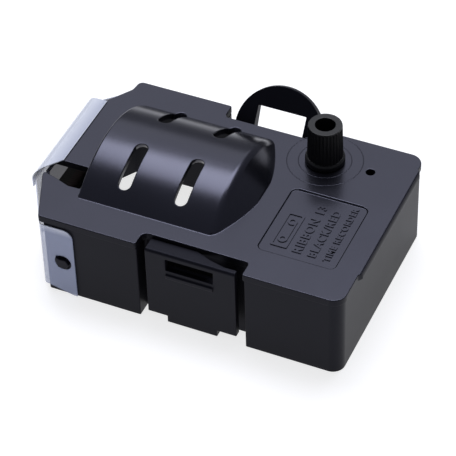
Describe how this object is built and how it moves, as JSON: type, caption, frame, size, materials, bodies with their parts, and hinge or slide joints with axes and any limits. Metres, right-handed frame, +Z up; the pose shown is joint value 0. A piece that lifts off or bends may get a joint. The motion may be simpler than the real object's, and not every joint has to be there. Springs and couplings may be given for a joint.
{
  "type": "ink ribbon cassette",
  "caption": "Snap-in ink ribbon cassette for a time recorder, with a domed print head cover, a finger knob that feeds the ribbon, and a clear film over the nose.",
  "frame": {"origin": "middle of the overall box at the underside", "axes": "+X towards the knob end, +Y towards the finger loop side, +Z up out of the deck"},
  "size_m": [0.0892, 0.0636, 0.0363],
  "materials": {
    "case_black": "moulded, satin black",
    "drive_black": "moulded, ribbed",
    "guard_film": "clear polyester film",
    "steel": "drawn wire and strip",
    "felt": "pressed wool felt",
    "ribbon": "inked nylon weave",
    "guide_white": "moulded acetal"
  },
  "bodies": {
    "case": {"base_case": "case_black", "top_cover": "case_black", "ribbon_guard_film": "guard_film", "arm_pivot_pin": "steel", "pawl_pin": "steel", "corner_pin_front": "steel", "nose_pin_front": "steel", "nose_pin_rear": "steel", "corner_pin_rear": "steel", "pinch_spring": "steel", "brake_felt": "felt", "brake_spring": "steel", "ribbon_loop": "ribbon", "ribbon_pack": "ribbon"},
    "feed_drive": {"feed_knob": "drive_black", "drive_roller": "drive_black", "drive_socket": "drive_black"},
    "swing_arm": {"pinch_arm": "guide_white", "pinch_axle": "steel"},
    "pinch_wheel": {"pinch_roller": "drive_black"},
    "front_latch": {"front_clip": "case_black"},
    "rear_latch": {"rear_clip_loop": "case_black"},
    "pawl": {"anti_reverse_pawl": "guide_white"},
    "corner_roller_front_body": {"corner_roller_front": "guide_white"},
    "nose_roller_front_body": {"nose_roller_front": "guide_white"},
    "nose_roller_rear_body": {"nose_roller_rear": "guide_white"},
    "corner_roller_rear_body": {"corner_roller_rear": "guide_white"}
  },
  "joints": [
    {"name": "feed_spin", "type": "hinge", "parent": "case", "child": "feed_drive", "pos_m": [0.02105, 0.01465, 0.0249], "axis": [0, 0, 1], "continuous": true},
    {"name": "pinch_swing", "type": "hinge", "parent": "case", "child": "swing_arm", "pos_m": [0.01245, -0.00045, 0.012], "axis": [0, 0, 1], "range_deg": [0, 4.5], "stiffness_Nm_per_rad": 0.02, "springref_deg": -5.73},
    {"name": "pinch_spin", "type": "hinge", "parent": "swing_arm", "child": "pinch_wheel", "pos_m": [0.01417, 0.00949, 0.012], "axis": [0, 0, 1], "continuous": true},
    {"name": "front_clip_flex", "type": "hinge", "parent": "case", "child": "front_latch", "pos_m": [0.00435, -0.02655, 0.0225], "axis": [1, 0, 0], "range_deg": [0, 5.5], "stiffness_Nm_per_rad": 1, "springref_deg": -0.57},
    {"name": "rear_clip_flex", "type": "hinge", "parent": "case", "child": "rear_latch", "pos_m": [0.00435, 0.02055, 0.0177], "axis": [1, 0, 0], "range_deg": [-5, 6], "stiffness_Nm_per_rad": 1},
    {"name": "pawl_swing", "type": "hinge", "parent": "case", "child": "pawl", "pos_m": [0.03135, 0.01865, 0.014], "axis": [0, 0, 1], "range_deg": [0, 8], "stiffness_Nm_per_rad": 0.005, "springref_deg": -5.73},
    {"name": "corner_guide_front_spin", "type": "hinge", "parent": "case", "child": "corner_roller_front_body", "pos_m": [-0.03325, -0.02665, 0.012], "axis": [0, 0, 1], "continuous": true},
    {"name": "nose_guide_front_spin", "type": "hinge", "parent": "case", "child": "nose_roller_front_body", "pos_m": [-0.04055, -0.01555, 0.012], "axis": [0, 0, 1], "continuous": true},
    {"name": "nose_guide_rear_spin", "type": "hinge", "parent": "case", "child": "nose_roller_rear_body", "pos_m": [-0.04055, 0.01025, 0.012], "axis": [0, 0, 1], "continuous": true},
    {"name": "corner_guide_rear_spin", "type": "hinge", "parent": "case", "child": "corner_roller_rear_body", "pos_m": [-0.03325, 0.02075, 0.012], "axis": [0, 0, 1], "continuous": true}
  ],
  "couplings": [
    {"joint": "pinch_spin", "follows": "feed_spin", "ratio": -1.1667},
    {"joint": "corner_guide_front_spin", "follows": "feed_spin", "ratio": -2.8},
    {"joint": "nose_guide_front_spin", "follows": "feed_spin", "ratio": -2.8},
    {"joint": "nose_guide_rear_spin", "follows": "feed_spin", "ratio": -2.8},
    {"joint": "corner_guide_rear_spin", "follows": "feed_spin", "ratio": -2.8}
  ]
}
